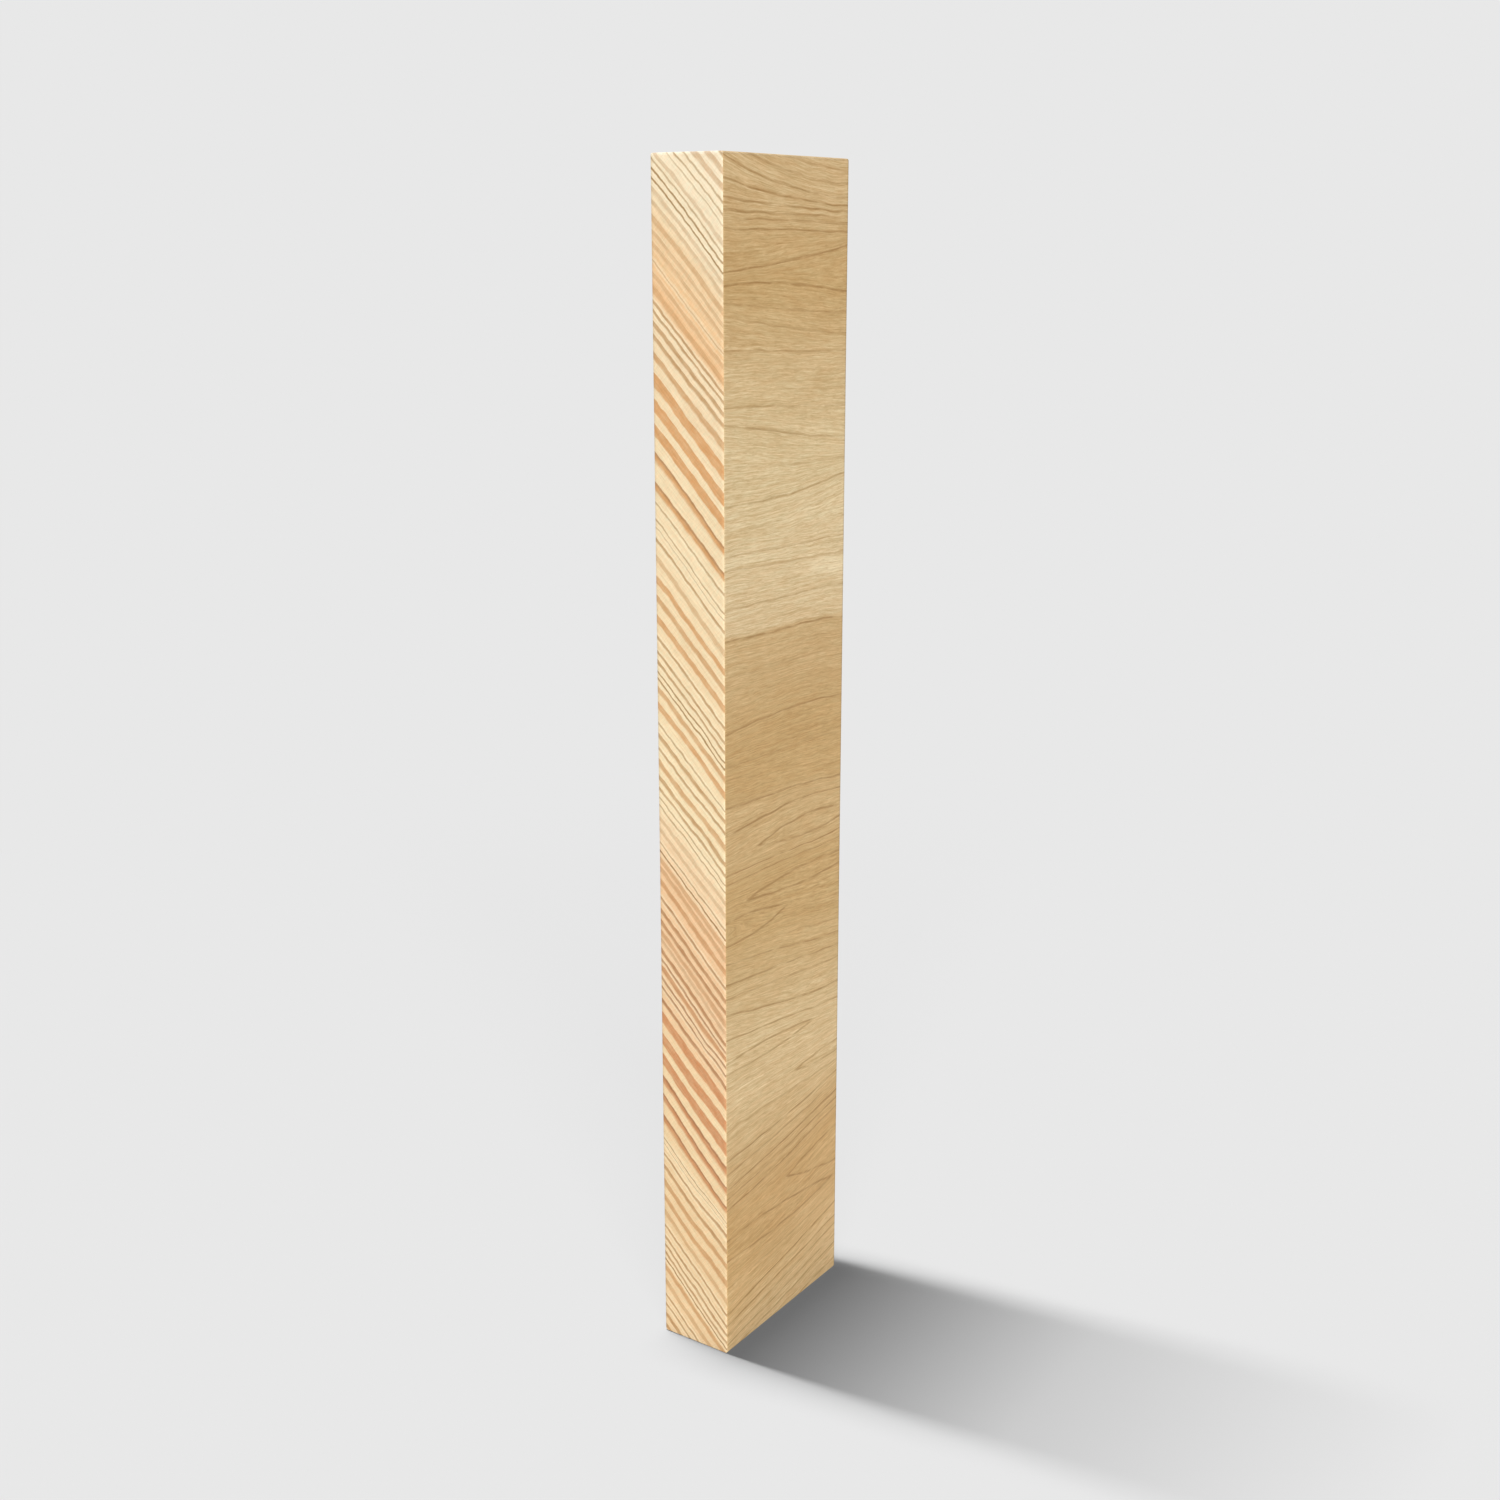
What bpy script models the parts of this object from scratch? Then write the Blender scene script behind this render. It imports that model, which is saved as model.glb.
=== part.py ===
"""A short length of square-edge timber moulding.

It is a plain dressed board that stands on its narrow edge, as it does at the foot of a wall, and it is
cut square at both ends. All lengths are in metres and +Z is up. The moulding runs along X, its show
face looks towards -Y and its back, which goes against the wall, towards +Y. The origin is the middle
of the edge that it stands on.
"""

import math

import bpy

# The board's section, as it is sold
BOARD_THICKNESS = 0.019
BOARD_HEIGHT = 0.285

# How much of the board's run was cut off
CUT_LENGTH = 0.050

# The planer takes the sharpness off the four edges that run along the board
EASED_RADIUS = 0.0005
EASED_STEPS = 3

# The saw leaves the edges round the two cut ends almost sharp
SAWN_CHAMFER = 0.00015

# Between the 30 degree steps of an eased edge and the square corner of a cut end
CUT_END_ANGLE = math.radians(60)

# Light, dressed, unfinished pine
TIMBER_COLOUR = (0.66, 0.46, 0.24, 1.0)
TIMBER_ROUGHNESS = 0.6


def clear_scene():
    """Removes whatever the file opened with."""
    for old in list(bpy.data.objects):
        bpy.data.objects.remove(old, do_unlink=True)


def timber_material():
    """Bare softwood: no metal in it, and only a dull shine."""
    material = bpy.data.materials.new("timber")
    material.use_nodes = True
    shader = material.node_tree.nodes["Principled BSDF"]
    shader.inputs["Base Color"].default_value = TIMBER_COLOUR
    shader.inputs["Roughness"].default_value = TIMBER_ROUGHNESS
    shader.inputs["Metallic"].default_value = 0.0
    return material


def weight_long_edges(mesh):
    """Marks the edges that run along X, which are the ones that the planer eases."""
    weights = mesh.attributes.new("bevel_weight_edge", "FLOAT", "EDGE")
    for edge in mesh.edges:
        start, end = (mesh.vertices[i].co for i in edge.vertices)
        along = end - start
        runs_along_x = abs(along.x) > max(abs(along.y), abs(along.z))
        weights.data[edge.index].value = 1.0 if runs_along_x else 0.0


def ease_long_edges(board):
    """Rounds the marked edges a little, as planed timber has them."""
    bevel = board.modifiers.new("eased edges", "BEVEL")
    bevel.limit_method = "WEIGHT"
    bevel.offset_type = "OFFSET"
    bevel.width = EASED_RADIUS
    bevel.segments = EASED_STEPS


def break_cut_ends(board):
    """Takes the wire edge off the rims of the two saw cuts."""
    bevel = board.modifiers.new("cut ends", "BEVEL")
    bevel.limit_method = "ANGLE"
    bevel.angle_limit = CUT_END_ANGLE
    bevel.offset_type = "OFFSET"
    bevel.width = SAWN_CHAMFER
    bevel.segments = 1


def make_moulding(collection, material):
    """The whole moulding, one solid piece of timber."""
    bpy.ops.mesh.primitive_cube_add(size=1.0, location=(0.0, 0.0, BOARD_HEIGHT / 2))
    board = bpy.context.object
    board.name = "moulding"
    board.data.name = "moulding"
    board.scale = (CUT_LENGTH, BOARD_THICKNESS, BOARD_HEIGHT)
    bpy.ops.object.transform_apply(location=False, rotation=False, scale=True)
    weight_long_edges(board.data)
    ease_long_edges(board)
    break_cut_ends(board)
    board.data.materials.append(material)
    for home in list(board.users_collection):
        home.objects.unlink(board)
    collection.objects.link(board)
    return board


def main():
    clear_scene()
    collection = bpy.data.collections.new("square_edge_moulding")
    bpy.context.scene.collection.children.link(collection)
    make_moulding(collection, timber_material())


main()
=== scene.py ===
# %% [markdown]
# # A short length of square-edge timber moulding
#
# The real thing is a plain dressed pine board, sawn off square and stood on its narrow edge. There is no
# carving to model: all of its looks are in the timber. The saw cut at each end shows growth rings, and the
# broad faces show the same shells of growth from the side, as long level lines.
#
# This lesson starts from the imported model, which fixes the size and the place, and it keeps the box that
# the model fills.

# %% The imported model
import math

import bmesh
import bpy
import numpy as np
from mathutils import Euler, Matrix, Vector


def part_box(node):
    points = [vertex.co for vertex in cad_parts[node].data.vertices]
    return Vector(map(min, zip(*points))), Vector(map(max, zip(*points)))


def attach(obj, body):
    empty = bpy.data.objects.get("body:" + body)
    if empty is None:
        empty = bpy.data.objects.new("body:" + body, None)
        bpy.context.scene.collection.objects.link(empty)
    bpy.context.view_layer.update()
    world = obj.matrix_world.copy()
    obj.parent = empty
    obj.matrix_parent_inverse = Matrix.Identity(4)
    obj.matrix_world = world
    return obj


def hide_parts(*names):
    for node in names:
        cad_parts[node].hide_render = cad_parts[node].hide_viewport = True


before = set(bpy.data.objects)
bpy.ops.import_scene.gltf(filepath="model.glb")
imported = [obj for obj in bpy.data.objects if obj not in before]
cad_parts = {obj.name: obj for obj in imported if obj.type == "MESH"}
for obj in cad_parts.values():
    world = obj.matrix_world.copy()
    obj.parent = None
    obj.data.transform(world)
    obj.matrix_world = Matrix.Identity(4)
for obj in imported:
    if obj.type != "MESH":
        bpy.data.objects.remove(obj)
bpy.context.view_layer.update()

low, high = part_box("moulding")
size = high - low
print("packed board, mm:", [round(1000 * side, 2) for side in size])

# %% [markdown]
# ## The board
#
# On the real object this is one piece from a planer and a saw. The planer leaves four long edges that are
# eased to half a millimetre, and the saw leaves rims that are almost sharp. It could be one cube with a
# Bevel modifier, but the rings need a mesh fine enough to carry them: later steps write a ring number, a
# width and two colours on every point. So the box is bevelled first, cut once near each corner, and only
# the long spans in between are divided, which keeps the small bevels clean.

# %% A bevelled box
MM = 0.001
EASED = 0.5 * MM
SAWN = 0.15 * MM
# the strip beside each corner that stays undivided, a little wider than the eased corner
MARGIN = 0.7 * MM


def along(edge, axis):
    """Whether an edge runs along one axis: 0 is X, 1 is Y and 2 is Z."""
    run = edge.verts[1].co - edge.verts[0].co
    return abs(run[axis]) > 0.99 * run.length


def soften(bm, edges, width, steps):
    """A bevel with all of its settings given, because bmesh has other defaults than the editor has."""
    bmesh.ops.bevel(bm, geom=edges, offset=width, offset_type="OFFSET", affect="EDGES", segments=steps,
                    profile=0.5, material=-1, clamp_overlap=False)


bm = bmesh.new()
place = Matrix.Translation((low + high) / 2) @ Matrix.Diagonal((*size, 1.0))
bmesh.ops.create_cube(bm, size=1.0, matrix=place)
soften(bm, [edge for edge in bm.edges if along(edge, 0)], EASED, 3)
rims = [edge for edge in bm.edges if not along(edge, 0)]
soften(bm, rims, SAWN, 1)
print("bevelled box:", len(bm.verts), "points,", len(bm.faces), "faces")

# %% Cuts near the corners, and fine spans between them
# how many spans the long sides get along X, Y and Z
SPANS = (40, 38, 560)

for axis in range(3):
    for spot in (low[axis] + MARGIN, high[axis] - MARGIN):
        middle = (low + high) / 2
        middle[axis] = spot
        across = Vector([1.0 if other == axis else 0.0 for other in range(3)])
        everything = bm.verts[:] + bm.edges[:] + bm.faces[:]
        bmesh.ops.bisect_plane(bm, geom=everything, dist=1e-7, plane_co=middle, plane_no=across)

for axis, count in enumerate(SPANS):
    long_enough = 0.9 * (size[axis] - 2 * MARGIN)
    spans = [edge for edge in bm.edges if along(edge, axis) and edge.calc_length() > long_enough]
    bmesh.ops.subdivide_edges(bm, edges=spans, cuts=count - 1, use_grid_fill=True)
bmesh.ops.recalc_face_normals(bm, faces=bm.faces)
print("divided board:", len(bm.verts), "points,", len(bm.faces), "faces")

# %% The mesh and its object
SAWN_END, BROAD_FACE, NARROW_EDGE = range(3)

# a rim goes with the saw cut, and an eased corner with the broad face, but for its levelest step
for face in bm.faces:
    face.smooth = True
    if abs(face.normal.x) > 0.6:
        face.material_index = SAWN_END
    elif abs(face.normal.z) > 0.75:
        face.material_index = NARROW_EDGE
    else:
        face.material_index = BROAD_FACE

board_mesh = bpy.data.meshes.new("timber_moulding")
bm.to_mesh(board_mesh)
bm.free()
board = bpy.data.objects.new("timber_moulding", board_mesh)
bpy.context.scene.collection.objects.link(board)
triangles = sum(len(polygon.vertices) - 2 for polygon in board_mesh.polygons)
print("board mesh:", triangles, "triangles")

# %% [markdown]
# ## Reading the points
#
# Every pattern below is a formula on the points' own places, in millimetres. Depth is counted down from the
# top edge, as one would count on the real board with a ruler.

# %% Points in millimetres
points = np.empty(3 * len(board_mesh.vertices))
board_mesh.vertices.foreach_get("co", points)
points = points.reshape(-1, 3)
run = (points[:, 0] - low.x) / MM
behind = (high.y - points[:, 1]) / MM
down = (high.z - points[:, 2]) / MM
LENGTH = size.x / MM
THICK = size.y / MM
HEIGHT = size.z / MM
print(len(points), "points on", round(LENGTH, 1), "by", round(THICK, 1), "by", round(HEIGHT, 1), "mm")

# %% Helpers for colours, waves and kept values


def shade(red, green, blue):
    """A colour as a paint program gives it, 0 to 255, in the linear light that Blender works in."""
    part = np.array((red, green, blue)) / 255.0
    return np.where(part <= 0.04045, part / 12.92, ((part + 0.055) / 1.055) ** 2.4)


def blend(first, second, share):
    """Goes from one colour to another by a share for each point."""
    share = np.asarray(share)[..., None]
    return first * (1.0 - share) + second * share


def waves(seed, places, reaches, height, count=7):
    """A slow wander: a few long sine waves added up, each with its own length and turn."""
    dice = np.random.default_rng(seed)
    total = np.zeros(len(places[0]))
    for _ in range(count):
        phase = dice.uniform(0.0, 2.0 * np.pi)
        for where_mm, reach in zip(places, reaches):
            phase = phase + dice.normal() * where_mm * (2.0 * np.pi / reach)
        total += np.sin(phase)
    return total * height / math.sqrt(count / 2.0)


def keep(name, values):
    """Writes one value, or one colour, on every point of the board."""
    if values.ndim == 1:
        layer = board_mesh.attributes.new(name, "FLOAT", "POINT")
        layer.data.foreach_set("value", values.astype(np.float32))
    else:
        layer = board_mesh.attributes.new(name, "FLOAT_COLOR", "POINT")
        solid = np.ones((len(values), 1))
        layer.data.foreach_set("color", np.hstack((values, solid)).astype(np.float32).ravel())


print("mid grey in linear light:", shade(128, 128, 128).round(3))

# %% [markdown]
# ## The growth record
#
# A saw cut across pine shows pale spring wood and darker summer wood, one band of each for a year. The
# board was sawn from the side of a log, so its rings are nearly straight here, and they fall at 45 degrees
# from the back to the front. Some years grew a thin brown line and some a broad orange band, and a band can
# fade downwards into the next year's spring wood.
#
# Rings could be circles round a pith, or bands of noise, but neither would give this board its own years.
# So the record is written the way one reads it on the cut, from the top down: a kind of year, and the
# widths of the years of that kind in millimetres.

# %% Kinds of years
RING_SLOPE = math.tan(math.radians(45.0))
# mm of summer wood, how dark it is, how orange it is, and over how many mm it fades below itself
KINDS = {
    "line": (0.58, 1.00, 0.05, 0.15),
    "fine": (0.60, 0.72, 0.10, 0.20),
    "faint": (0.45, 0.50, 0.05, 0.15),
    "soft": (1.30, 0.42, 0.30, 0.60),
    "tan": (1.70, 0.55, 0.50, 0.50),
    "brown": (0.90, 0.82, 0.25, 0.35),
    "thick": (1.35, 0.82, 0.35, 0.55),
    "mixed": (1.70, 0.78, 0.66, 0.50),
    "orange": (1.80, 0.86, 0.85, 0.40),
    "broad": (3.00, 0.96, 1.00, 0.35),
    "faded": (2.10, 1.00, 0.90, 1.30),
}
print(len(KINDS), "kinds of years")

# %% The years from the top down
FIRST_YEAR = -21.5
YEARS = (
    ("brown", (3.5,)), ("tan", (3.3, 3.5)), ("fine", (2.7, 2.4)), ("faint", (1.9,)), ("soft", (3.4,)),
    ("fine", (1.7,)), ("line", (2.0, 2.0)), ("soft", (2.2, 2.6)), ("tan", (3.4,)), ("soft", (3.0, 2.4)),
    ("faint", (3.8,)), ("soft", (2.7,)), ("tan", (3.1,)), ("brown", (2.7, 1.9)), ("thick", (2.8, 2.8)),
    ("mixed", (4.0,)), ("broad", (5.3, 5.6, 5.3)), ("faded", (5.9, 6.8)), ("fine", (3.5, 3.9)),
    ("faint", (1.6,)), ("brown", (2.7,)), ("tan", (4.5,)), ("orange", (4.8,)), ("mixed", (4.3,)),
    ("orange", (4.5,)), ("brown", (4.4, 3.4, 2.3)), ("line", (2.4, 1.6)), ("mixed", (2.3,)),
    ("orange", (4.0,)), ("fine", (4.2,)), ("thick", (2.8,)), ("brown", (3.1,)), ("mixed", (3.4,)),
    ("thick", (3.6,)), ("brown", (2.5,)), ("fine", (2.5, 2.0)), ("soft", (3.1, 2.8)), ("fine", (3.2,)),
    ("line", (2.2,)), ("tan", (2.2, 2.3)), ("mixed", (3.5,)), ("brown", (4.0,)), ("thick", (3.2, 2.9)),
    ("tan", (2.6,)), ("soft", (1.9,)), ("thick", (2.8,)), ("brown", (2.4,)), ("mixed", (2.0,)),
    ("brown", (2.6, 2.2)), ("thick", (3.6,)), ("broad", (4.4, 5.8, 5.1)), ("faded", (5.2, 4.9, 5.4)),
    ("fine", (5.2,)), ("faint", (1.5,)), ("brown", (2.8,)), ("thick", (3.6,)), ("mixed", (4.3, 4.2)),
    ("tan", (4.2,)), ("brown", (3.8, 3.2, 2.3, 2.2)), ("line", (1.6,)), ("mixed", (2.1,)), ("tan", (4.3,)),
    ("brown", (3.5, 2.6)), ("thick", (3.1, 3.1)), ("orange", (3.6, 3.8, 4.0)),
)

rings = []
spot = FIRST_YEAR
for kind, widths in YEARS:
    for width in widths:
        spot += width
        rings.append((spot, *KINDS[kind]))
rings = np.array(rings)
print(len(rings), "years, from", round(rings[0, 0], 1), "to", round(rings[-1, 0], 1), "mm down")

# %% [markdown]
# No shell is quite flat. Slow waves bend them all, and here and there a year swells or sags by half a
# millimetre or more, next to a branch or after a hard winter. Each bend is a place on the cut, how far it
# reaches and how much it lifts the rings. Along the board it slowly turns over, so the two ends differ.

# %% Bends of the rings
# mm down the rings, mm across from the back, reach down, reach across, lift in mm
BENDS = (
    (3, 19, 6, 8, -0.9), (13, 19, 4, 5, -0.6), (38, 19, 4, 9, 0.8), (47, 3.5, 3, 2.5, 0.5),
    (54, 19, 5, 9, -0.6), (64, 17, 3, 4, -0.7), (71, 14, 2.5, 6, 0.4), (79, 16, 4, 6, -0.7),
    (88, 19, 5, 9, -0.8), (92, 3, 5, 3, 0.4), (113, 12, 2.5, 2.2, 0.6), (121.5, 9.5, 2.5, 5, 0.7),
    (130, 19, 6, 9, 0.9), (138, 12, 4, 3, 0.6), (145.5, 8, 3, 2.5, 0.7), (148, 17, 4, 7, 0.8),
    (171, 8, 3, 4, 0.3), (182, 18, 4, 5, -1.0), (189.5, 13, 3, 2.2, -0.8), (197, 17, 7, 9, 1.0),
    (205, 19, 4, 8, 0.9), (220, 17, 5, 8, -0.9), (226, 18, 3, 7, -0.8), (233, 18, 4, 6, 1.5),
    (243, 18, 5, 8, 1.0), (247, 7, 4, 4, -0.5), (255, 10, 3, 5, 0.5), (259.5, 10.5, 3, 2, 0.5),
    (263.5, 14, 3, 4, -0.5),
)
# mm along the board after which a bend comes round again
TURN_OVER = 70.0

depth = down - behind * RING_SLOPE
depth += waves(3, (behind, down, run), (70.0, 90.0, 80.0), 0.15)
depth += waves(4, (behind, down, run), (22.0, 30.0, 60.0), 0.08)
depth += waves(8, (behind, down, run), (6.0, 8.0, 40.0), 0.05)
swing = np.cos(run * 2.0 * np.pi / TURN_OVER)
for middle_down, middle_across, reach_down, reach_across, lift in BENDS:
    away = ((depth - middle_down) / reach_down) ** 2 + ((behind - middle_across) / reach_across) ** 2
    depth += lift * swing * np.exp(-away)
print("depth down the rings, mm:", round(float(depth.min()), 1), "to", round(float(depth.max()), 1))

# %% [markdown]
# A band's edge is sharper than the mesh is fine. So the mesh only carries smooth values, which are the
# number of the ring, the spacing of the rings and how the nearest year looks, and the material draws the
# band from them later, dot by dot.

# %% Ring number and spacing at every point
# a mark keeps its own spacing, width and darkness over this share of the way to the next one
HOLD = 0.36


def count_marks(where, marks):
    """Numbers the space between marks, which are in mm, and gives the spacing around the nearest mark.

    The number passes through every mark smoothly, so that a line drawn there is even on both of its sides.
    """
    around = np.gradient(marks, axis=0)
    number = np.minimum(0.0, (where - marks[0]) / around[0])
    spacing = np.full(len(where), float(np.mean(around[0])))
    for index in range(len(marks) - 1):
        gap = marks[index + 1] - marks[index]
        share = (where - marks[index]) / gap
        inside = (share >= 0.0) & (share < 1.0)
        eased = share * share * (3.0 - 2.0 * share)
        leaving = share * (1.0 - share) ** 2 * gap / around[index]
        arriving = share * share * (1.0 - share) * gap / around[index + 1]
        number = np.where(inside, index + eased + leaving - arriving, number)
        near = np.clip((share - HOLD) / (1.0 - 2.0 * HOLD), 0.0, 1.0)
        spacing = np.where(inside, around[index] * (1.0 - near) + around[index + 1] * near, spacing)
    return number, spacing


def by_mark(column, where, table, hold=HOLD):
    """Reads a column of a table: level around each mark, and sliding from mark to mark between."""
    count = np.arange(len(table))
    steps = np.stack((count - hold, count + hold), axis=1).ravel()
    return np.interp(where, steps, np.repeat(table[:, column], 2))


ring, ring_spacing = count_marks(depth, rings[:, 0])
keep("ring", ring)
keep("ring_spacing", ring_spacing)
keep("summer_width", by_mark(1, ring, rings))
keep("summer_dark", by_mark(2, ring, rings))
keep("summer_fade", by_mark(4, ring, rings))
print("rings run from", round(float(ring.min()), 1), "to", round(float(ring.max()), 1))

# %% [markdown]
# ## The colours of the saw cut
#
# Spring wood is cream, with two warmer stretches, and it is a little more golden at the foot. Summer wood
# is brown in the thin lines and orange in the broad bands, and redder in the second warm stretch. The top
# arris has painted shade: it is a shade darker and greyer than the wood below it, so that the light from
# above shows no bright line there. The colours are kept on the points and mixed in the material, where the
# bands get their sharp edges.

# %% Painted shade on the top arris
# painted shade: the top arris is made darker and greyer, so that the light from above shows no bright line
# on it
PAINTED_ARRIS_SHADE = np.array((0.80, 0.86, 1.00))

at_top = np.clip(1.0 - down / (MARGIN / MM), 0.0, 1.0)[:, None]
arris_painted_shade = 1.0 - at_top * (1.0 - PAINTED_ARRIS_SHADE)
print("points that painted shade darkens:", int((at_top > 0.0).sum()))

# %% Spring and summer wood
# mm down the rings, and the colour there
SPRING_WOOD = (
    (-19, 248, 230, 198), (6, 245, 225, 190), (12, 241, 212, 169), (20, 239, 201, 153),
    (28, 239, 195, 145), (32, 243, 218, 179), (60, 242, 219, 178), (100, 241, 216, 174),
    (140, 243, 221, 179), (150, 241, 211, 170), (160, 237, 198, 154), (195, 235, 198, 154),
    (206, 238, 211, 167), (240, 233, 203, 158), (285, 233, 201, 156),
)
BROWN = (
    (-19, 167, 134, 89), (8, 167, 134, 89), (22, 180, 130, 78), (34, 168, 133, 86), (145, 168, 133, 84),
    (157, 160, 116, 70), (180, 148, 98, 54), (195, 145, 94, 50), (206, 154, 110, 62), (285, 163, 122, 69),
)
ORANGE = (
    (-19, 216, 162, 106), (150, 216, 161, 106), (195, 204, 143, 95), (222, 203, 142, 95),
    (240, 212, 157, 102), (285, 212, 157, 102),
)


def by_depth(rows, where):
    """Slides from colour to colour down a list of (mm, red, green, blue)."""
    spots = [row[0] for row in rows]
    colours = np.array([shade(*row[1:]) for row in rows])
    return np.stack([np.interp(where, spots, colours[:, part]) for part in range(3)], axis=1)


# the painted shade of the top arris darkens the spring and summer wood there
spring = by_depth(SPRING_WOOD, depth) * arris_painted_shade
share = by_mark(3, ring, rings)[:, None]
summer = (by_depth(BROWN, depth) * (1 - share) + by_depth(ORANGE, depth) * share) * arris_painted_shade
keep("spring_wood", spring)
keep("summer_wood", summer)
print("mean spring wood:", spring.mean(axis=0).round(3), "mean summer wood:", summer.mean(axis=0).round(3))

# %% [markdown]
# ## The lines of the broad faces
#
# Seen from the side, the same shells of growth come out as long lines that drift up and down, crowd
# together and part again. Each line here is three readings and a darkness: how far down it lies at the
# left end, in the middle and at the right end, in millimetres. A gentle curve goes through the three.

# %% Lines
LINES = np.array((
    (-12.0, -6.0, -3.0, 0.5),
    (-6.5, 0.2, 2.4, 0.5),
    (-3.0, 3.4, 5.5, 0.6),
    (0.4, 6.6, 8.6, 0.9),
    (5.0, 8.9, 10.4, 1.0),
    (9.0, 10.9, 11.8, 0.9),
    (11.7, 12.6, 13.1, 0.8),
    (13.3, 14.0, 14.4, 0.7),
    (15.6, 16.0, 16.2, 0.7),
    (24.6, 22.6, 19.2, 0.9),
    (27.3, 27.2, 29.7, 0.8),
    (30.9, 32.6, 34.2, 0.5),
    (33.7, 36.6, 39.2, 0.4),
    (41.0, 42.0, 43.1, 0.6),
    (53.0, 54.5, 56.0, 0.4),
    (56.4, 60.2, 63.5, 0.7),
    (66.0, 67.2, 68.2, 0.3),
    (75.0, 74.2, 71.9, 0.7),
    (85.6, 86.0, 86.8, 0.6),
    (88.4, 89.6, 90.7, 0.5),
    (97.8, 98.0, 98.8, 0.6),
    (104.8, 105.7, 106.9, 0.9),
    (113.0, 113.5, 114.5, 0.2),
    (126.2, 125.0, 126.0, 0.7),
    (134.0, 134.6, 135.2, 0.3),
    (143.3, 145.0, 146.9, 0.8),
    (149.9, 149.4, 150.4, 1.0),
    (160.4, 160.3, 160.4, 1.0),
    (162.7, 162.8, 163.2, 0.7),
    (177.6, 181.2, 185.0, 0.4),
    (180.2, 185.2, 188.8, 0.7),
    (186.7, 189.8, 192.1, 0.9),
    (190.4, 193.4, 195.6, 0.6),
    (194.4, 199.4, 202.4, 0.9),
    (201.0, 204.2, 206.7, 0.8),
    (213.5, 214.4, 215.4, 0.3),
    (225.0, 224.4, 223.8, 0.5),
    (232.7, 230.8, 227.5, 0.9),
    (236.3, 233.9, 230.6, 0.6),
    (240.4, 237.6, 233.8, 1.0),
    (242.9, 240.4, 236.5, 0.8),
    (246.2, 243.5, 239.6, 1.0),
    (267.0, 263.8, 259.6, 0.4),
    (274.6, 269.8, 263.8, 1.0),
    (277.5, 273.6, 268.8, 1.0),
    (280.0, 276.2, 271.5, 0.8),
    (282.6, 279.2, 275.2, 0.7),
    (285.2, 281.8, 277.4, 0.7),
    (289.0, 285.6, 282.0, 0.6),
    (294.0, 291.0, 288.0, 0.6),
    (300.0, 299.0, 298.0, 0.8),
    (306.0, 305.0, 304.0, 0.6),
    (313.0, 312.0, 311.0, 0.7),
))
print(len(LINES), "lines; the closest two are", round(np.diff(LINES[:, :3], axis=0).min(), 2), "mm apart")

# %% [markdown]
# Where the saw only just cuts a shell, the line closes on itself and makes a long pointed oval, and its
# neighbours bend round it. Each oval is its middle, half its length and half its height.

# %% Ovals
# mm along, mm down, half the length, half the height
OVALS = (
    (36.0, 156.0, 22.5, 2.5),
    (-2.0, 174.4, 8.5, 1.9),
    (36.0, 168.2, 27.0, 2.0),
    (5.0, 174.4, 21.0, 3.0),
    (14.0, 208.6, 24.5, 1.9),
    (46.0, 219.9, 16.0, 1.5),
    (60.0, 248.2, 33.5, 5.3),
    (12.0, 257.0, 36.5, 3.1),
)
print(len(OVALS), "ovals")

# %% Where each point lies on its broad face
# the shells reach the back higher up, and the back is read from the other end, a little stretched
BACK_DRIFT = THICK * RING_SLOPE
BACK_STRETCH = 0.8

at_back = behind < THICK / 2
face_down = down + np.where(at_back, BACK_DRIFT, 0.0)
face_run = np.where(at_back, LENGTH - BACK_STRETCH * run, run)
face_down = face_down + waves(5, (face_run, face_down), (60.0, 34.0), 0.18)
face_down = face_down + waves(6, (face_run, face_down), (16.0, 18.0), 0.07)
print("points on the back half:", int(at_back.sum()))

# %% Neighbours bent round the ovals
# how hard an oval pushes, how far that reaches in half heights, and how soon it ends along the oval
PUSH = 0.9
PUSH_REACH = 2.6
PUSH_ENDS = 1.3
# the push turns from up to down within this many half heights of the middle
PUSH_TURNS = 0.5
NO_OVAL_NEAR = 9.0

oval_edge = np.full(len(points), NO_OVAL_NEAR)
bent = face_down.copy()
for middle_run, middle_down, half_long, half_high in OVALS:
    off = face_down - middle_down
    along_oval = (face_run - middle_run) / half_long
    oval_edge = np.minimum(oval_edge, np.abs(off) - half_high * (1.0 - along_oval ** 2))
    push = half_high * np.exp(-PUSH_ENDS * along_oval ** 2) * np.tanh(off / (PUSH_TURNS * half_high))
    bent -= PUSH * push * np.exp(-((off / (PUSH_REACH * half_high)) ** 2))
print("furthest that a line is pushed, mm:", round(float(np.abs(face_down - bent).max()), 2))

# %% Line number and spacing at every point
LINE_HOLD = 0.3
# beside an oval the fibres bend a little less than half as much as the lines do
FIBRES_STRAIGHTER = 0.55

t = face_run / (LENGTH / 2)
lines_here = (LINES[:, 0, None] * (t - 1) * (t - 2) / 2 - LINES[:, 1, None] * t * (t - 2)
              + LINES[:, 2, None] * t * (t - 1) / 2)
line, line_spacing = count_marks(bent, lines_here)
level = np.interp(line, np.arange(len(LINES)), LINES[:, :3].mean(axis=1))
keep("line", line)
keep("line_spacing", line_spacing)
keep("line_dark", by_mark(3, line, LINES, hold=LINE_HOLD))
keep("oval_edge", oval_edge)
keep("fibre_level", level + FIBRES_STRAIGHTER * (face_down - bent))
print("lines run from", round(float(line.min()), 1), "to", round(float(line.max()), 1))

# %% [markdown]
# The face goes from honey to straw and back in a few wide bands. They follow the lines, so they are read
# from the level that a line has on the board, and not from the height of a point.

# %% Honey and straw
HONEY = shade(203, 164, 105)
STRAW = shade(231, 203, 156)
HONEY_LINE = shade(172, 131, 78)
STRAW_LINE = shade(190, 154, 102)
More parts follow.
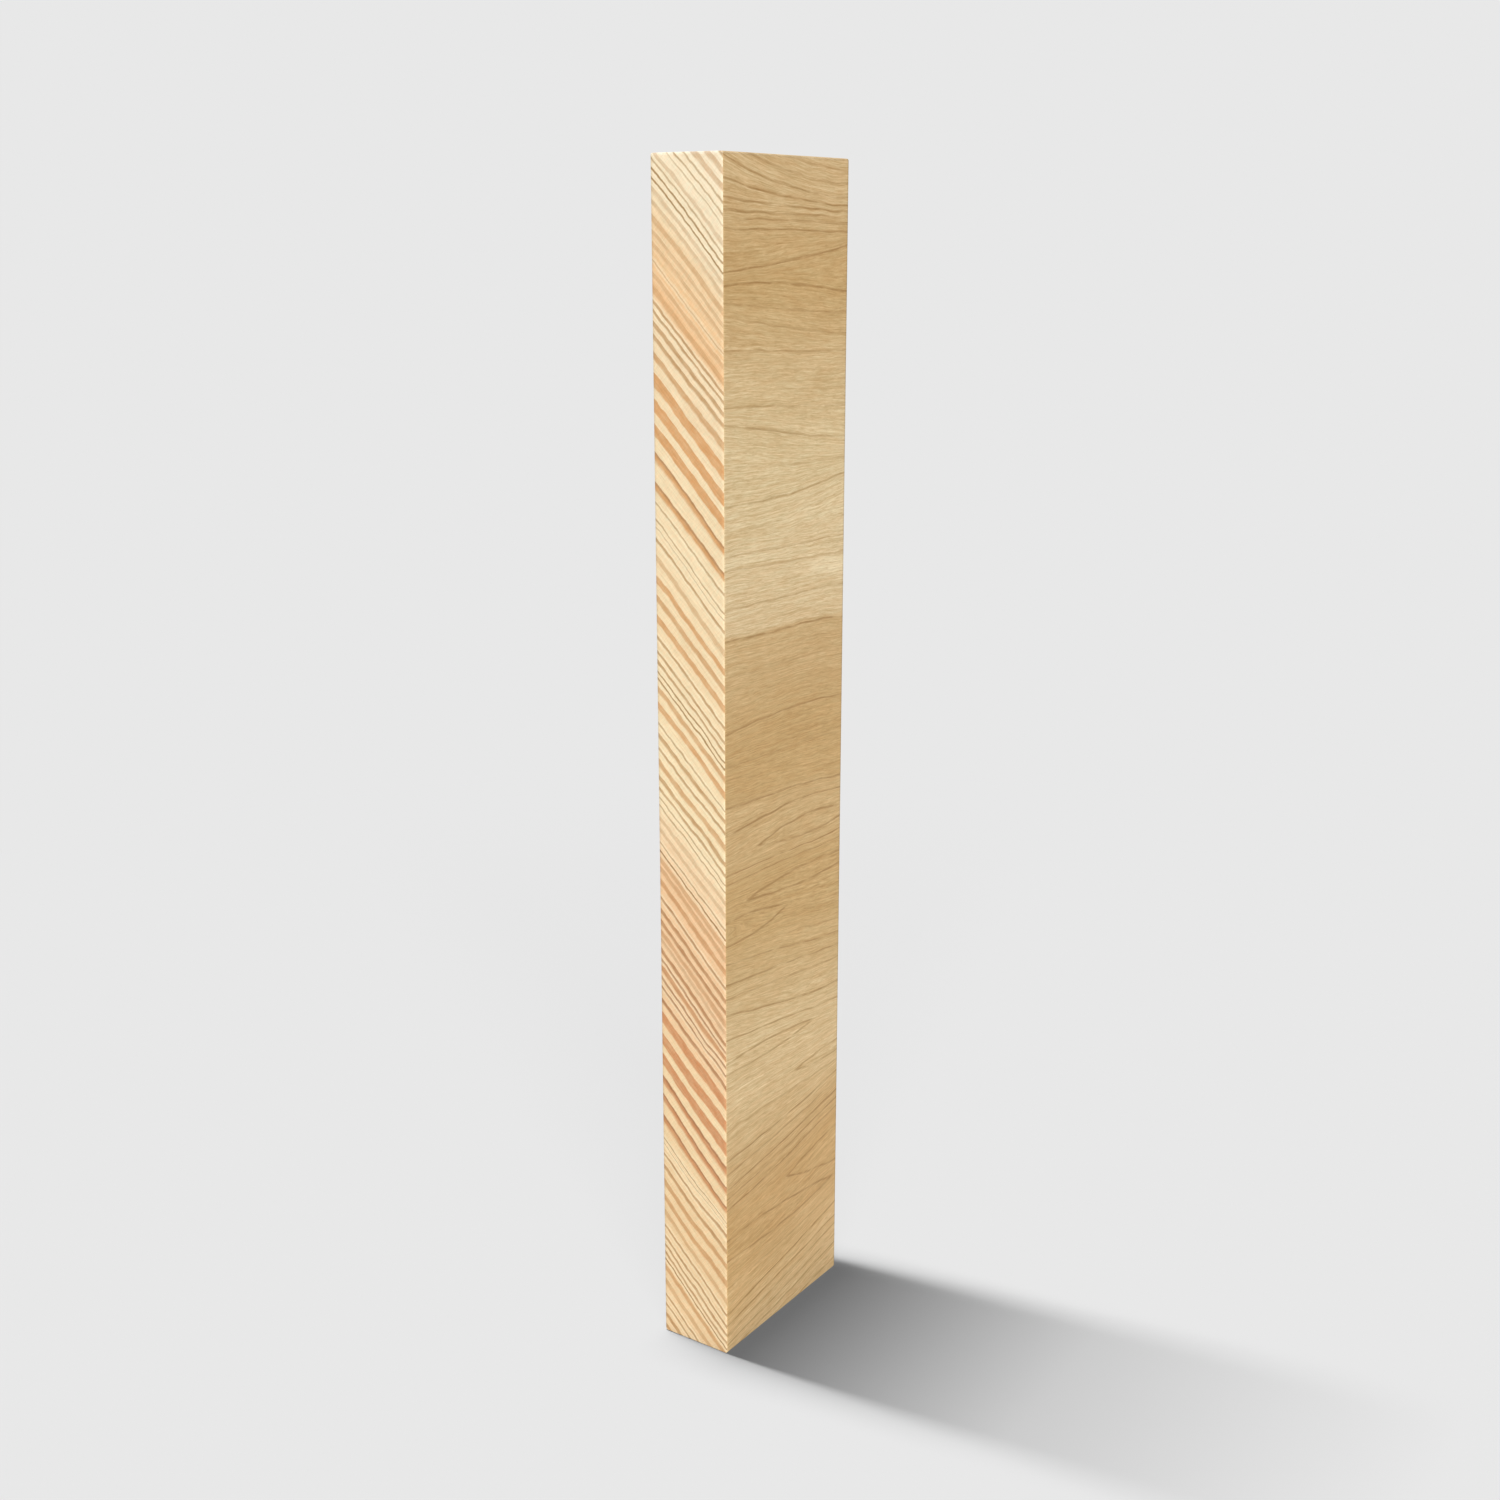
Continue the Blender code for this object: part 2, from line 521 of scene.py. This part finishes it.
# mm down, and how much of the straw colour
BANDS = np.array((
    (-10, 0.65), (12, 0.54), (17, 0.34), (28, 0.18), (38, 0.42), (46, 0.66), (56, 0.80), (66, 0.95),
    (80, 1.00), (95, 1.00), (104.6, 0.85), (105.6, 0.35), (115, 0.35), (128, 0.15), (142, 0.16),
    (147, 0.37), (156, 0.37), (165, 0.17), (176, 0.20), (186, 0.35), (194, 0.52), (203, 0.77),
    (217, 0.82), (226, 0.64), (234, 0.45), (242, 0.28), (250, 0.20), (262, 0.42), (270, 0.58),
    (278, 0.78), (290, 1.00), (306, 0.80),
))
# mm down, and what red, green and blue are multiplied by, because the wood is warmer at the foot
TINTS = np.array((
    (-10, 0.99, 0.98, 0.97), (40, 1.00, 1.01, 1.01), (70, 0.97, 1.00, 1.00), (110, 0.98, 0.99, 1.01),
    (155, 0.98, 0.98, 0.97), (200, 0.98, 0.99, 0.98), (225, 0.98, 0.97, 0.94), (245, 1.01, 0.97, 0.93),
    (268, 1.08, 1.02, 0.94), (300, 1.08, 1.02, 0.94),
))
# two bleached patches: mm along, mm down, half the length, half the height
BLEACHED = ((4.0, 88.0, 13.0, 2.2), (45.0, 93.0, 14.0, 2.6))
MORE_STRAW = 0.35

straw_share = np.interp(level, BANDS[:, 0], BANDS[:, 1])
for middle_run, middle_down, half_long, half_high in BLEACHED:
    away = ((face_run - middle_run) / half_long) ** 2 + ((level - middle_down) / half_high) ** 2
    straw_share += MORE_STRAW * np.exp(-away ** 2)
tints = np.stack([np.interp(level, TINTS[:, 0], TINTS[:, part]) for part in (1, 2, 3)], axis=1)
# the painted shade of the top arris darkens the face wood and its lines there
face_wood = blend(HONEY, STRAW, straw_share) * tints * arris_painted_shade
face_line = blend(HONEY_LINE, STRAW_LINE, straw_share) * tints * arris_painted_shade
keep("face_wood", face_wood)
keep("face_line", face_line)
print("mean face wood:", face_wood.mean(axis=0).round(3))

# %% [markdown]
# ## Node helpers
#
# A material is a small graph. These helpers add one node each and take either a number or another node's
# output, so that a formula can be read in one line.

# %% Helpers for single nodes


def new_material(name):
    """An empty node material, and its tree."""
    material = bpy.data.materials.new(name)
    material.use_nodes = True
    material.node_tree.nodes.clear()
    return material, material.node_tree


def feed(tree, socket, value):
    """Puts a number, a colour or another node's output on a socket."""
    if isinstance(value, bpy.types.NodeSocket):
        tree.links.new(value, socket)
    else:
        socket.default_value = value


def calc(tree, operation, *values):
    """One Math node."""
    node = tree.nodes.new("ShaderNodeMath")
    node.operation = operation
    for socket, value in zip(node.inputs, values):
        feed(tree, socket, value)
    return node.outputs[0]


def stored(tree, name, colour=False):
    """Reads back what was kept on the points."""
    node = tree.nodes.new("ShaderNodeAttribute")
    node.attribute_name = name
    return node.outputs["Color" if colour else "Fac"]


def step_up(tree, value, start, end):
    """A smooth step from 0 at start to 1 at end. Start and end may be numbers or outputs."""
    node = tree.nodes.new("ShaderNodeMapRange")
    node.interpolation_type = "SMOOTHSTEP"
    feed(tree, node.inputs["Value"], value)
    feed(tree, node.inputs["From Min"], start)
    feed(tree, node.inputs["From Max"], end)
    return node.outputs["Result"]


def falls_off(tree, value, start, end):
    """A smooth step the other way, from 1 at start to 0 at end."""
    return calc(tree, "SUBTRACT", 1.0, step_up(tree, value, start, end))


def tint(tree, first, second, share, mode="MIX"):
    """Mixes two colours."""
    node = tree.nodes.new("ShaderNodeMix")
    node.data_type = "RGBA"
    node.blend_type = mode
    feed(tree, node.inputs["Factor"], share)
    feed(tree, node.inputs[6], first)
    feed(tree, node.inputs[7], second)
    return node.outputs[2]


# %% Helpers for grain


def place_mm(tree):
    """The point's own place in millimetres, as three outputs."""
    where = tree.nodes.new("ShaderNodeTexCoord")
    parts = tree.nodes.new("ShaderNodeSeparateXYZ")
    tree.links.new(where.outputs["Object"], parts.inputs[0])
    return [calc(tree, "MULTIPLY", part, 1.0 / MM) for part in parts.outputs]


def grain_noise(tree, first, second, third, detail=2.0, rough=0.55, seed=0.0):
    """Noise that may be stretched: each input is an output in mm and the length of a grain along it."""
    joined = tree.nodes.new("ShaderNodeCombineXYZ")
    for socket, (value, length) in zip(joined.inputs, (first, second, third)):
        feed(tree, socket, calc(tree, "MULTIPLY_ADD", value, 1.0 / length, seed))
    node = tree.nodes.new("ShaderNodeTexNoise")
    node.inputs["Scale"].default_value = 1.0
    node.inputs["Detail"].default_value = detail
    node.inputs["Roughness"].default_value = rough
    tree.links.new(joined.outputs[0], node.inputs["Vector"])
    return node.outputs["Fac"]


# how much of a change in lightness red, green and blue each take
WARMTH = (0.82, 1.0, 1.3)


def vary(tree, colour, noise, less, more, warmth=WARMTH):
    """Darkens a colour where a noise is 0.3 or less and lightens it at 0.7 or more.

    Darker wood is also warmer, so blue changes most and red least.
    """
    node = tree.nodes.new("ShaderNodeMapRange")
    feed(tree, node.inputs["Value"], noise)
    node.inputs["From Min"].default_value = 0.3
    node.inputs["From Max"].default_value = 0.7
    darker = (*(less ** part for part in warmth), 1.0)
    lighter = (*(more ** part for part in warmth), 1.0)
    return tint(tree, colour, tint(tree, darker, lighter, node.outputs[0]), 1.0, "MULTIPLY")


def timber_shader(tree, colour, roughness, bump, height_mm):
    """Bare wood: no metal, a dull shine, and the fibres as a fine bump."""
    shader = tree.nodes.new("ShaderNodeBsdfPrincipled")
    shader.inputs["Specular IOR Level"].default_value = 0.3
    feed(tree, shader.inputs["Base Color"], colour)
    feed(tree, shader.inputs["Roughness"], roughness)
    relief = tree.nodes.new("ShaderNodeBump")
    relief.inputs["Strength"].default_value = 1.0
    relief.inputs["Distance"].default_value = height_mm * MM
    feed(tree, relief.inputs["Height"], bump)
    tree.links.new(relief.outputs[0], shader.inputs["Normal"])
    ending = tree.nodes.new("ShaderNodeOutputMaterial")
    tree.links.new(shader.outputs[0], ending.inputs["Surface"])


# %% [markdown]
# ## Bands of summer wood
#
# The distance to the nearest ring is the ring number less its round number, times the spacing. A band is
# sharp on its upper side, where growth stopped for the winter, and softer on its lower side. Beside a thin
# line the spring wood is at its palest, which makes the line stand out.

# %% The bands as nodes
# all of these are millimetres: half of a band's soft upper side, and where a dark rim is full and ends
UPPER_SOFT = 0.18
RIM_FULL = 0.35
RIM_ENDS = 0.95
# how far from a thin line the wood is palest, and where that ends
PALE_FULL = 0.15
PALE_ENDS = 0.95
# the width up to which a line is thin, and the width from which it isn't
THIN = 0.8
NOT_THIN = 1.6
# the fade of a band that is drawn with a dark rim, and the fade from which the rim is full
RIM_FROM = 0.8
RIM_WHOLE = 1.2


def summer_bands(tree, wobble):
    """Three outputs from 0 to 1: summer wood, the pale wood beside a thin line, a faded band's dark rim."""
    number = stored(tree, "ring")
    off = calc(tree, "SUBTRACT", number, calc(tree, "ROUND", number, 0.0))
    off = calc(tree, "MULTIPLY_ADD", off, stored(tree, "ring_spacing"), wobble)
    width = stored(tree, "summer_width")
    half_width = calc(tree, "MULTIPLY", width, 0.5)
    fade = stored(tree, "summer_fade")
    upper = calc(tree, "MULTIPLY", half_width, -1.0)
    above = step_up(tree, off, calc(tree, "ADD", upper, -UPPER_SOFT), calc(tree, "ADD", upper, UPPER_SOFT))
    # three fifths of the fade lie inside the band's own width, and two fifths below it
    start = calc(tree, "MULTIPLY_ADD", fade, -0.6, calc(tree, "ADD", half_width, -0.12))
    end = calc(tree, "MULTIPLY_ADD", fade, 0.4, calc(tree, "ADD", half_width, 0.16))
    below = falls_off(tree, off, start, end)
    bands = calc(tree, "MULTIPLY", calc(tree, "MULTIPLY", above, below), stored(tree, "summer_dark"))
    away = calc(tree, "SUBTRACT", calc(tree, "ABSOLUTE", off), half_width)
    beside = falls_off(tree, away, PALE_FULL, PALE_ENDS)
    thin = falls_off(tree, width, THIN, NOT_THIN)
    last_growth = falls_off(tree, calc(tree, "SUBTRACT", off, upper), RIM_FULL, RIM_ENDS)
    faded = step_up(tree, fade, RIM_FROM, RIM_WHOLE)
    rim = calc(tree, "MULTIPLY", calc(tree, "MULTIPLY", last_growth, above), faded)
    return bands, calc(tree, "MULTIPLY", beside, thin), rim


# %% [markdown]
# ## The saw cut
#
# End grain drinks light more than face grain does, so it is duller. Under the bands lie fine rays that
# cross the rings, fibres that follow them, and the small pits of cut cells.

# %% End grain
PALEST = (*shade(252, 238, 203), 1.0)
DARK_RIM = (0.72, 0.72, 0.74, 1.0)
# resin makes the wood redder in places: where red rises, green and blue fall
RESIN = (-1.0, 0.6, 1.4)

end_grain, tree = new_material("sawn end grain")
x, y, z = place_mm(tree)
rise = calc(tree, "SUBTRACT", z, y)
cross = calc(tree, "ADD", z, y)
wobble = calc(tree, "MULTIPLY_ADD", grain_noise(tree, (rise, 3.0), (cross, 3.5), (x, 20.0)), 0.8, -0.4)
bands, beside, rim = summer_bands(tree, wobble)
uneven = grain_noise(tree, (rise, 1.2), (cross, 4.0), (x, 20.0), detail=3.0, seed=4.0)
bands = calc(tree, "MULTIPLY", bands, calc(tree, "MULTIPLY_ADD", uneven, 0.7, 0.60))
spring_here = tint(tree, stored(tree, "spring_wood", True), PALEST, calc(tree, "MULTIPLY", beside, 0.4))
colour = tint(tree, spring_here, stored(tree, "summer_wood", True), bands)
colour = tint(tree, colour, DARK_RIM, rim, "MULTIPLY")
fibres = grain_noise(tree, (rise, 0.50), (cross, 8.0), (x, 20.0), detail=3.0, seed=9.0)
rays = grain_noise(tree, (rise, 2.4), (cross, 0.32), (x, 20.0), detail=3.0, seed=15.0)
pits = grain_noise(tree, (rise, 0.22), (cross, 0.22), (x, 20.0), detail=3.0, seed=23.0)
cloud = grain_noise(tree, (rise, 14.0), (cross, 9.0), (x, 60.0), seed=31.0)
hues = grain_noise(tree, (rise, 2.0), (cross, 0.9), (x, 30.0), detail=2.0, seed=47.0)
colour = vary(tree, colour, fibres, 0.90, 1.06)
colour = vary(tree, colour, rays, 0.94, 1.05)
colour = vary(tree, colour, pits, 0.97, 1.02)
colour = vary(tree, colour, cloud, 0.975, 1.015)
colour = vary(tree, colour, hues, 0.975, 1.025, RESIN)
dull = calc(tree, "MULTIPLY_ADD", bands, -0.10, 0.78)
relief = calc(tree, "ADD", calc(tree, "MULTIPLY", bands, 0.6), calc(tree, "MULTIPLY", pits, 0.7))
timber_shader(tree, colour, dull, relief, 0.012)
print(end_grain.name, "has", len(tree.nodes), "nodes")

# %% [markdown]
# ## The broad faces
#
# A planed face shows the shells as thin lines. Each line is drawn by its distance, like the bands, and a
# noise breaks it up along its run. Between the lines run short streaks, the cut fibres, which follow the
# same shells, because their noise reads the grain's level and not the height.

# %% Lines and ovals as nodes
# mm from the middle of a line to where it is still full, and to where it has faded out
LINE_FULL = 0.08
LINE_ENDS = 0.42

face_grain, tree = new_material("planed face grain")
x, y = place_mm(tree)[:2]
level_mm = stored(tree, "fibre_level")
number = stored(tree, "line")
off = calc(tree, "SUBTRACT", number, calc(tree, "ROUND", number, 0.0))
off = calc(tree, "ABSOLUTE", calc(tree, "MULTIPLY", off, stored(tree, "line_spacing")))
wander = grain_noise(tree, (x, 9.0), (level_mm, 3.0), (y, 30.0), seed=3.0)
off = calc(tree, "ADD", off, calc(tree, "MULTIPLY_ADD", wander, 0.26, -0.13))
edge = stored(tree, "oval_edge")
outside = step_up(tree, edge, -0.25, 0.15)
drawn = calc(tree, "MULTIPLY", falls_off(tree, off, LINE_FULL, LINE_ENDS), stored(tree, "line_dark"))
drawn = calc(tree, "MULTIPLY", drawn, outside)
round_ovals = falls_off(tree, calc(tree, "ABSOLUTE", edge), LINE_FULL, LINE_ENDS)
drawn = calc(tree, "MAXIMUM", drawn, calc(tree, "MULTIPLY", round_ovals, 0.8))
broken = grain_noise(tree, (x, 7.0), (level_mm, 1.2), (y, 30.0), detail=3.0, seed=12.0)
drawn = calc(tree, "MULTIPLY", drawn, step_up(tree, broken, 0.26, 0.56))
colour = tint(tree, stored(tree, "face_wood", True), stored(tree, "face_line", True), drawn)
print("lines are", 2 * LINE_ENDS, "mm wide")

# %% Face grain
FACE_WARMTH = (0.72, 1.0, 1.50)

streaks = grain_noise(tree, (x, 3.6), (level_mm, 0.22), (y, 30.0), detail=3.0, rough=0.70, seed=20.0)
fibres = grain_noise(tree, (x, 26.0), (level_mm, 0.36), (y, 30.0), detail=3.0, rough=0.70, seed=41.0)
flecks = grain_noise(tree, (x, 2.4), (level_mm, 0.34), (y, 30.0), detail=1.0, seed=27.0)
cloud = grain_noise(tree, (x, 22.0), (level_mm, 5.0), (y, 30.0), seed=33.0)
hues = grain_noise(tree, (x, 6.0), (level_mm, 1.0), (y, 30.0), detail=2.0, seed=47.0)
colour = vary(tree, colour, streaks, 0.76, 1.19, FACE_WARMTH)
colour = vary(tree, colour, fibres, 0.83, 1.12, FACE_WARMTH)
colour = vary(tree, colour, cloud, 0.95, 1.045, FACE_WARMTH)
fleck_share = calc(tree, "MULTIPLY", step_up(tree, flecks, 0.62, 0.74), 0.35)
colour = tint(tree, colour, stored(tree, "face_line", True), fleck_share)
colour = vary(tree, colour, hues, 0.985, 1.015, RESIN)
dull = calc(tree, "MULTIPLY_ADD", streaks, 0.2, 0.50)
relief = calc(tree, "SUBTRACT", streaks, calc(tree, "MULTIPLY", drawn, 0.5))
timber_shader(tree, colour, dull, relief, 0.02)
print(face_grain.name, "has", len(tree.nodes), "nodes")

# %% [markdown]
# ## The narrow edges
#
# The top edge and the underside cut the same rings the long way, so the rings come out as straight stripes.
# They are the end grain's own rings, which makes each stripe meet its ring at the corner of the cut.

# %% Edge grain
EDGE_SPRING = (*shade(214, 190, 146), 1.0)
EDGE_SUMMER = (*shade(190, 150, 100), 1.0)
PLANED_SHARE = 0.75

edge_grain, tree = new_material("planed edge grain")
x, y, z = place_mm(tree)
wobble = calc(tree, "MULTIPLY_ADD", grain_noise(tree, (x, 14.0), (y, 2.0), (z, 30.0)), 0.5, -0.25)
bands = summer_bands(tree, wobble)[0]
stripes = grain_noise(tree, (x, 9.0), (y, 0.30), (z, 30.0), detail=3.0, seed=6.0)
spring_here = tint(tree, stored(tree, "spring_wood", True), EDGE_SPRING, PLANED_SHARE)
summer_here = tint(tree, stored(tree, "summer_wood", True), EDGE_SUMMER, PLANED_SHARE)
colour = tint(tree, spring_here, summer_here, bands)
colour = vary(tree, colour, stripes, 0.93, 1.05)
timber_shader(tree, colour, calc(tree, "MULTIPLY_ADD", stripes, 0.2, 0.50), stripes, 0.02)
print(edge_grain.name, "has", len(tree.nodes), "nodes")

# %% [markdown]
# ## A flat plan of the board
#
# An exported copy keeps its colours in square pictures, and a tall board laid out whole would waste most of
# a square. So its plan is drawn here: each tall side is cut at half its height, the eight halves stand side
# by side, and the two narrow edges lie above them. The thin lines need room across them, so a millimetre
# gets more of the picture up the board than along it.

# %% Where each side goes on the plan
# shares of the square, which has 1024 dots each way
GAP = 6 / 1024
HALF_TALL = 926 / 1024
EDGE_TALL = 1 - HALF_TALL - 3 * GAP
BROAD_WIDE = 135 / 1024
END_WIDE = (1 - 9 * GAP - 4 * BROAD_WIDE) / 4
EDGE_WIDE = (1 - 3 * GAP) / 2

columns = {}
left = GAP
for side, wide in (("front", BROAD_WIDE), ("back", BROAD_WIDE), ("left", END_WIDE), ("right", END_WIDE)):
    for half in (0, 1):
        columns[side, half] = (left, GAP, wide, HALF_TALL)
        left += wide + GAP
columns["top", 0] = (GAP, 2 * GAP + HALF_TALL, EDGE_WIDE, EDGE_TALL)
columns["under", 0] = (2 * GAP + EDGE_WIDE, 2 * GAP + HALF_TALL, EDGE_WIDE, EDGE_TALL)

along_run, across, up = run / LENGTH, behind / THICK, 1.0 - down / HEIGHT
READINGS = {
    "front": (along_run, 2 * up), "back": (1 - along_run, 2 * up),
    "left": (across, 2 * up), "right": (1 - across, 2 * up),
    "top": (across, along_run), "under": (1 - across, along_run),
}
print(len(columns), "fields on the plan")

# %% Drawing the plan


def side_of(polygon):
    """Names the side of the board that a face belongs to."""
    if polygon.material_index == SAWN_END:
        return "left" if polygon.normal.x < 0 else "right"
    if polygon.material_index == NARROW_EDGE:
        return "top" if polygon.normal.z > 0 else "under"
    return "front" if polygon.normal.y < 0 else "back"


corner_of = np.empty(len(board_mesh.loops), dtype=int)
board_mesh.loops.foreach_get("vertex_index", corner_of)
plan = np.empty((len(board_mesh.loops), 2))
for polygon in board_mesh.polygons:
    side = side_of(polygon)
    half = int(side not in ("top", "under") and polygon.center.z > (low.z + high.z) / 2)
    start_u, start_v, wide, tall = columns[side, half]
    place_on = slice(polygon.loop_start, polygon.loop_start + polygon.loop_total)
    across_share, up_share = (reading[corner_of[place_on]] for reading in READINGS[side])
    plan[place_on, 0] = start_u + wide * across_share
    plan[place_on, 1] = start_v + tall * (up_share - half)
layer = board_mesh.uv_layers.new(name="OFBake")
layer.uv.foreach_set("vector", plan.astype(np.float32).ravel())
print("plan fills", plan.min(axis=0).round(3), "to", plan.max(axis=0).round(3))

# %% Materials on the board
for material in (end_grain, face_grain, edge_grain):
    board_mesh.materials.append(material)
print("materials on the board:", [material.name for material in board_mesh.materials])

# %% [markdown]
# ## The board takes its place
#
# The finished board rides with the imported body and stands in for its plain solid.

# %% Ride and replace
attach(board, "root")
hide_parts("moulding")
print(board.name, "rides on root")

# %% [markdown]
# ## The light
#
# The shadow falls from the broad face straight to the front. It is dark at the foot and fades out in about
# half the board's height, and it widens as it goes: that is the shadow of a narrow strip light that hangs a
# metre above the board and reaches a little behind it. The strip is made of two panels, because its lower
# part is weaker. A low, wide panel far away to the front fills the two faces that the camera sees.

# %% Lights
# brightness: 1 is a white card in full light
AMBIENT = 0.13
KEY_HIGH = 0.57
KEY_LOW = 0.285
FILL = 0.88
# metres from the point that a panel is turned to
NEAR = 1.15
FAR = 60.0
KEY_AZIMUTH = -8.0
FILL_AZIMUTH = 232.0


def panel(name, azimuth, lowest, highest, width, brightness, aim, away):
    """A panel of light that spans two elevations, in degrees, as seen from the point that it is turned to.

    Azimuth turns from +Y towards +X. Brightness is about what a white card at the board's foot, turned to
    the panel, gives back.
    """
    lift = math.radians((lowest + highest) / 2)
    turn = math.radians(azimuth)
    toward = Vector((math.sin(turn) * math.cos(lift), math.cos(turn) * math.cos(lift), math.sin(lift)))
    middle = aim + away * toward
    lamp = bpy.data.lights.new(name, "AREA")
    lamp.shape = "RECTANGLE"
    lamp.size = 2 * away * math.tan(math.radians(width / 2))
    lamp.size_y = 2 * away * math.tan(math.radians((highest - lowest) / 2))
    lamp.energy = brightness * math.pi * math.pi * middle.length ** 2
    made = bpy.data.objects.new(name, lamp)
    made.location = middle
    made.rotation_euler = Euler((math.pi / 2 - lift, 0.0, math.pi - turn), "XYZ")
    made.visible_camera = False
    bpy.context.scene.collection.objects.link(made)
    print(name, "is", round(lamp.size, 3), "by", round(lamp.size_y, 3), "m")
    return made


foot = Vector((0.0, 0.0, low.z))
crown = Vector((8 * MM, 0.0, high.z))
panels = [
    panel("key high", KEY_AZIMUTH, 76.0, 90.0, 2.6, KEY_HIGH, crown, NEAR),
    panel("key low", KEY_AZIMUTH, 61.0, 76.0, 2.6, KEY_LOW, crown, NEAR),
    panel("fill", FILL_AZIMUTH, 1.0, 8.0, 40.0, FILL, foot, FAR),
]

# %% [markdown]
# ## The floor
#
# The board stands on a plain pale floor that has no end. A strip light lights the spot below it most, so
# the floor's paint is a little lighter further out and gives back the same brightness everywhere. Further
# out still it glows by itself at that brightness, and then it melts into the air, which matches it.

# %% A level grid
FLOOR_HALF = 4.0
FLOOR_SQUARES = 160
# the floor lies a hair lower than the board, so that the two don't share a plane
FLOOR_GAP = 0.05 * MM

bm = bmesh.new()
bmesh.ops.create_grid(bm, x_segments=FLOOR_SQUARES, y_segments=FLOOR_SQUARES, size=FLOOR_HALF,
                      matrix=Matrix.Translation((0.0, 0.0, low.z - FLOOR_GAP)))
floor_mesh = bpy.data.meshes.new("floor")
bm.to_mesh(floor_mesh)
bm.free()
floor = bpy.data.objects.new("floor", floor_mesh)
bpy.context.scene.collection.objects.link(floor)

spots = np.empty(3 * len(floor_mesh.vertices))
floor_mesh.vertices.foreach_get("co", spots)
spots = spots.reshape(-1, 3)
print("floor:", len(spots), "spots")

# %% Even paint
PALE = 0.807
WHITEST = 0.98


def light_on(spots, made):
    """How brightly a panel lights each spot of a level floor: the mean over 64 points of the panel."""
    side, tall, facing = (np.array(column) for column in made.rotation_euler.to_matrix().transposed())
    total = np.zeros(len(spots))
    for across_share in (-0.375, -0.125, 0.125, 0.375):
        for along_share in (np.arange(16) + 0.5) / 16 - 0.5:
            source = np.array(made.location) + side * across_share * made.data.size
            source = source + tall * along_share * made.data.size_y
            way = source - spots
            total += np.maximum(way @ facing, 0.0) * way[:, 2] / (way * way).sum(axis=1) ** 2
    return made.data.energy / math.pi ** 2 * total / 64


light = AMBIENT + sum(light_on(spots, made) for made in panels)
paint = floor_mesh.attributes.new("paint", "FLOAT", "POINT")
paint.data.foreach_set("value", np.minimum(PALE / light, WHITEST).astype(np.float32))
reach_of = np.hypot(spots[:, 0], spots[:, 1])
for ring_m in (0.0, 0.2, 0.4, 0.6, 0.8):
    near_ring = np.abs(reach_of - ring_m) < 0.04
    print("light on the floor at", ring_m, "m:", light[near_ring].min().round(3), "to",
          light[near_ring].max().round(3))

# %% Studio floor
# metres from the board: where the glow starts and is full, and where the floor starts to melt and is gone
GLOW_STARTS, GLOW_FULL = 0.30, 0.50
MELT_STARTS, MELT_ENDS = 0.8, 3.8

studio, tree = new_material("studio floor")
where = tree.nodes.new("ShaderNodeTexCoord")
reach = tree.nodes.new("ShaderNodeVectorMath")
reach.operation = "LENGTH"
tree.links.new(where.outputs["Object"], reach.inputs[0])
reach = reach.outputs["Value"]
matt = tree.nodes.new("ShaderNodeBsdfDiffuse")
tree.links.new(stored(tree, "paint"), matt.inputs["Color"])
glow = tree.nodes.new("ShaderNodeEmission")
glow.inputs["Color"].default_value = (PALE, PALE, PALE, 1.0)
nothing = tree.nodes.new("ShaderNodeBsdfTransparent")


def melt(first, second, start, end):
    """Goes from one shader to the other between two distances from the board."""
    mixed = tree.nodes.new("ShaderNodeMixShader")
    feed(tree, mixed.inputs[0], step_up(tree, reach, start, end))
    tree.links.new(first.outputs[0], mixed.inputs[1])
    tree.links.new(second.outputs[0], mixed.inputs[2])
    return mixed


floor_shader = melt(melt(matt, glow, GLOW_STARTS, GLOW_FULL), nothing, MELT_STARTS, MELT_ENDS)
ending = tree.nodes.new("ShaderNodeOutputMaterial")
tree.links.new(floor_shader.outputs[0], ending.inputs["Surface"])
studio.cycles.emission_sampling = "NONE"
floor_mesh.materials.append(studio)
# the wood would throw its own warm light on the floor beside it
board.visible_diffuse = False
print(studio.name, "has", len(tree.nodes), "nodes")

# %% [markdown]
# ## The air around
#
# Real light also comes back from all round a studio. A weak white world gives that light, and it shows
# itself to the camera at the floor's own brightness, so that no edge of the floor is seen.

# %% World
world = bpy.data.worlds.new("pale studio")
bpy.context.scene.world = world
world.use_nodes = True
tree = world.node_tree
tree.nodes.clear()
seen = tree.nodes.new("ShaderNodeLightPath")
air = tree.nodes.new("ShaderNodeBackground")
air.inputs["Color"].default_value = (1.0, 1.0, 1.0, 1.0)
strength = tree.nodes.new("ShaderNodeMapRange")
tree.links.new(seen.outputs["Is Camera Ray"], strength.inputs["Value"])
strength.inputs["To Min"].default_value = AMBIENT
strength.inputs["To Max"].default_value = PALE
tree.links.new(strength.outputs[0], air.inputs["Strength"])
ending = tree.nodes.new("ShaderNodeOutputWorld")
tree.links.new(air.outputs[0], ending.inputs["Surface"])
print("the air gives", AMBIENT, "and shows", PALE)

# %% [markdown]
# ## The camera
#
# The six corners that show in the photograph fix one camera. It stands a little below the board's top, to
# the left of the show face, and looks somewhat down. Its place, its turn and its lens come from fitting
# those corners.

# %% Camera
SENSOR_MM = 36.0
LENS_MM = 44.87
STANDS_AT = (-0.3577, -0.2468, 0.2672)
LOOKS_DOWN = 15.287
TURNED = -55.306

lens = bpy.data.cameras.new("photo")
lens.sensor_width = SENSOR_MM
lens.lens = LENS_MM
lens.clip_end = 500.0
camera = bpy.data.objects.new("photo", lens)
camera.location = STANDS_AT
camera.rotation_euler = Euler((math.radians(90.0 - LOOKS_DOWN), 0.0, math.radians(TURNED)), "XYZ")
bpy.context.scene.collection.objects.link(camera)
bpy.context.scene.camera = camera
bpy.context.scene.view_settings.view_transform = "Standard"
print("camera stands", round(Vector(STANDS_AT).xy.length, 3), "m from the board's middle, from above")
